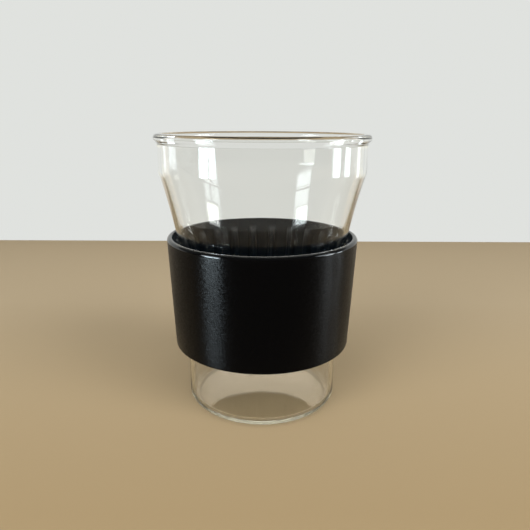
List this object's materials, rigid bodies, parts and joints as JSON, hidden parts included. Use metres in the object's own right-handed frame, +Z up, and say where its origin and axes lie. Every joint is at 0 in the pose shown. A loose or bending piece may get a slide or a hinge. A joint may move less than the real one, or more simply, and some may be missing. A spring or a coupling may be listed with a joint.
{
  "type": "drinking glass",
  "caption": "Clear tapered drinking glass with a rolled lip and a straight foot, standing in a slip-on black grip sleeve that is ribbed inside to keep hands off the hot wall.",
  "frame": {"origin": "middle of the circle that the glass stands on, on the table's surface", "axes": "+Z up along the axis of the glass; the picture looks roughly along +Y, with +X to its right"},
  "size_m": [0.0874, 0.0874, 0.115],
  "materials": {
    "clear_glass": "clear, polished, colourless borosilicate",
    "black_plastic": "black, moulded with a fine satin grain"
  },
  "bodies": {
    "sleeve": {"grip_sleeve": "black_plastic"},
    "glass": {"glass_tumbler": "clear_glass"}
  },
  "joints": [
    {"name": "glass_lift", "type": "slide", "parent": "sleeve", "child": "glass", "axis": [0, 0, 1], "range_m": [0, 0.08]}
  ]
}
